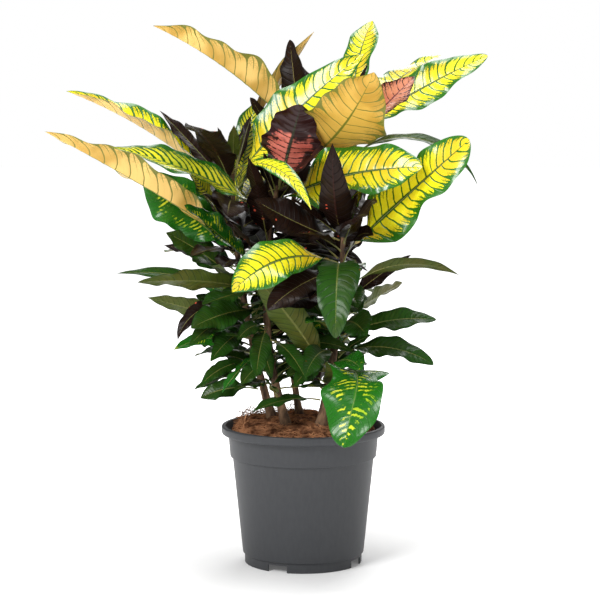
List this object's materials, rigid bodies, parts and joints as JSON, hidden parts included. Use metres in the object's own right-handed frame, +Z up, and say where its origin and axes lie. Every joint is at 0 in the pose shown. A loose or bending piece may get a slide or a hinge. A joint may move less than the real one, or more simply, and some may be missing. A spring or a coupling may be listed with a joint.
{
  "type": "potted croton",
  "caption": "Variegated croton with long glossy yellow, green and maroon leaves on woody shoots, in a round moulded nursery pot.",
  "frame": {"origin": "centre of the pot's base, on the flat pad under its floor", "axes": "+Z up, -Y to the front of the plant, +X to its right as seen from the front"},
  "size_m": [0.5511, 0.4382, 0.6966],
  "materials": {
    "pot_plastic": "matt dark grey moulded plastic with faint vertical flow marks",
    "potting_mix": "loose brown coir fibre, matt",
    "woody_stem": "light brown bark with leaf scars",
    "leaf_gold": "glossy yellow between green veins, green margin",
    "leaf_lime": "glossy green with yellow stripes between the veins",
    "leaf_amber": "satin golden brown underside with thin green veins",
    "leaf_maroon": "glossy near-black maroon with small pink spots",
    "leaf_rose": "glossy coral pink with dark maroon edges",
    "leaf_green": "glossy dark green",
    "leaf_speckled": "glossy green splashed with yellow",
    "leaf_olive": "satin olive underside with a pale midrib"
  },
  "bodies": {
    "root": {"leaf_amber_arch": "leaf_amber", "leaf_back_left_dark": "leaf_maroon", "leaf_brown_shield": "leaf_amber", "leaf_gloss_dark": "leaf_maroon", "leaf_inner_broad": "leaf_maroon", "leaf_inner_left": "leaf_maroon", "leaf_inner_tall": "leaf_maroon", "leaf_left_folded": "leaf_speckled", "leaf_left_gloss": "leaf_green", "leaf_left_grey": "leaf_olive", "leaf_left_hanging": "leaf_speckled", "leaf_left_low_long": "leaf_green", "leaf_left_maroon": "leaf_maroon", "leaf_left_olive": "leaf_olive", "leaf_left_shadow": "leaf_maroon", "leaf_long_left": "leaf_amber", "leaf_low_broad": "leaf_green", "leaf_low_centre": "leaf_green", "leaf_low_front": "leaf_speckled", "leaf_low_gold": "leaf_gold", "leaf_low_left_speckled": "leaf_speckled", "leaf_low_left_tip": "leaf_green", "leaf_middle_dark": "leaf_maroon", "leaf_middle_wavy": "leaf_gold", "leaf_olive_hanging": "leaf_olive", "leaf_rear_1": "leaf_gold", "leaf_rear_2": "leaf_gold", "leaf_rear_3": "leaf_lime", "leaf_rear_4": "leaf_lime", "leaf_rear_5": "leaf_speckled", "leaf_rear_6": "leaf_speckled", "leaf_rear_7": "leaf_green", "leaf_rear_8": "leaf_green", "leaf_right_broad": "leaf_gold", "leaf_right_brown": "leaf_maroon", "leaf_right_dark": "leaf_green", "leaf_right_far": "leaf_green", "leaf_right_folded": "leaf_green", "leaf_right_grey": "leaf_olive", "leaf_right_low": "leaf_green", "leaf_right_olive": "leaf_olive", "leaf_rose_folded": "leaf_rose", "leaf_small_gold": "leaf_lime", "leaf_standing_rose": "leaf_rose", "leaf_striped_left": "leaf_lime", "leaf_top_amber": "leaf_amber", "leaf_top_back": "leaf_gold", "leaf_top_gold": "leaf_gold", "leaf_top_left": "leaf_amber", "leaf_top_right": "leaf_gold", "leaf_upper_left": "leaf_gold", "leaf_upright_striped": "leaf_lime", "leaf_young_dark": "leaf_maroon", "pot": "pot_plastic", "shoot_back": "woody_stem", "shoot_centre": "woody_stem", "shoot_front": "woody_stem", "shoot_left": "woody_stem", "shoot_right": "woody_stem", "soil": "potting_mix"}
  },
  "joints": []
}
